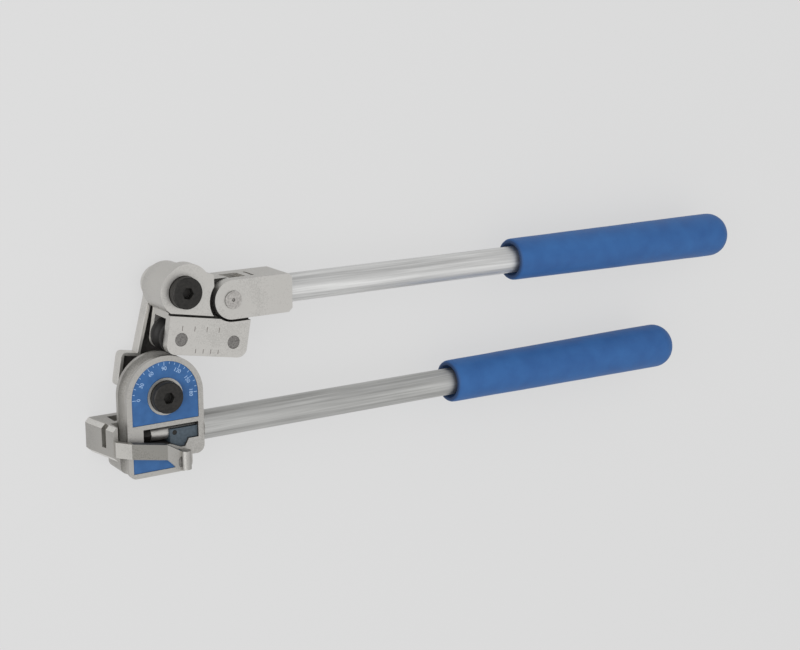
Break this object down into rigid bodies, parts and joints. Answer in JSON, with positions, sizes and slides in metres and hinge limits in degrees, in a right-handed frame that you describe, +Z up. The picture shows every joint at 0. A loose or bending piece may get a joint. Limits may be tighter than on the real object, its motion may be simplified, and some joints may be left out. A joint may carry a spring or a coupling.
{
  "type": "hand tube bender",
  "caption": "Hand tube bender with a grooved bend die, a dial, a swinging roll support on a link, a tube latch and parallel lever handles with blue grips.",
  "frame": {"origin": "point on the bend die's axis at the level of the bench that the tool lies on", "axes": "+X along the handles to their ends, +Y from the fixed handle to the lever handle, +Z up out of the dial"},
  "size_m": [0.4961, 0.1276, 0.0484],
  "materials": {
    "satin_steel": "satin",
    "rod_steel": "satin plated",
    "slate_steel": "dark satin",
    "black_oxide": "black oxide",
    "pin_steel": "ground",
    "bronze": "plain",
    "blue_plate": "satin enamel",
    "blue_vinyl": "matte"
  },
  "bodies": {
    "die_body": {"bend_die": "satin_steel", "dial_plate": "blue_plate", "foot_plate": "blue_plate", "die_bush": "bronze", "die_washer": "bronze", "fixed_handle_rod": "rod_steel", "handle_anchor": "slate_steel", "anchor_pin": "black_oxide", "stud_sleeve": "rod_steel", "stud_nut": "black_oxide", "fixed_grip": "blue_vinyl", "latch_pin": "pin_steel", "latch_pin_screw": "black_oxide"},
    "latch": {"tube_latch": "satin_steel"},
    "link": {"link_arm": "satin_steel", "die_screw": "black_oxide", "die_screw_nut": "black_oxide", "upper_screw": "black_oxide", "upper_screw_nut": "black_oxide"},
    "roll_support": {"roll_support": "satin_steel", "upper_bush": "bronze", "upper_washer": "bronze", "tongue_bush": "bronze", "roller_pins": "pin_steel"},
    "near_roller": {"near_roller": "pin_steel"},
    "far_roller": {"far_roller": "pin_steel"},
    "lever": {"clevis": "satin_steel", "clevis_pin": "pin_steel", "clevis_set_screw": "black_oxide", "lever_handle_rod": "rod_steel", "lever_grip": "blue_vinyl"}
  },
  "joints": [
    {"name": "latch_swing", "type": "hinge", "parent": "die_body", "child": "latch", "pos_m": [0.0085, -0.041, 0.0283], "axis": [0, 0, 1], "range_deg": [0, 75]},
    {"name": "link_swing", "type": "hinge", "parent": "die_body", "child": "link", "pos_m": [0, 0, 0.0283], "axis": [0, 0, 1], "range_deg": [-5.5, 98]},
    {"name": "support_swing", "type": "hinge", "parent": "link", "child": "roll_support", "pos_m": [0.01111, 0.06303, 0.0283], "axis": [0, 0, 1], "range_deg": [0, 95]},
    {"name": "lever_swing", "type": "hinge", "parent": "roll_support", "child": "lever", "pos_m": [0.04334, 0.0546, 0.0283], "axis": [0, 0, 1], "range_deg": [0, 90]},
    {"name": "near_roller_spin", "type": "hinge", "parent": "roll_support", "child": "near_roller", "pos_m": [0.00893, 0.03454, 0.0283], "axis": [0, 0, 1], "continuous": true},
    {"name": "far_roller_spin", "type": "hinge", "parent": "roll_support", "child": "far_roller", "pos_m": [0.0432, 0.02849, 0.0283], "axis": [0, 0, 1], "continuous": true}
  ]
}
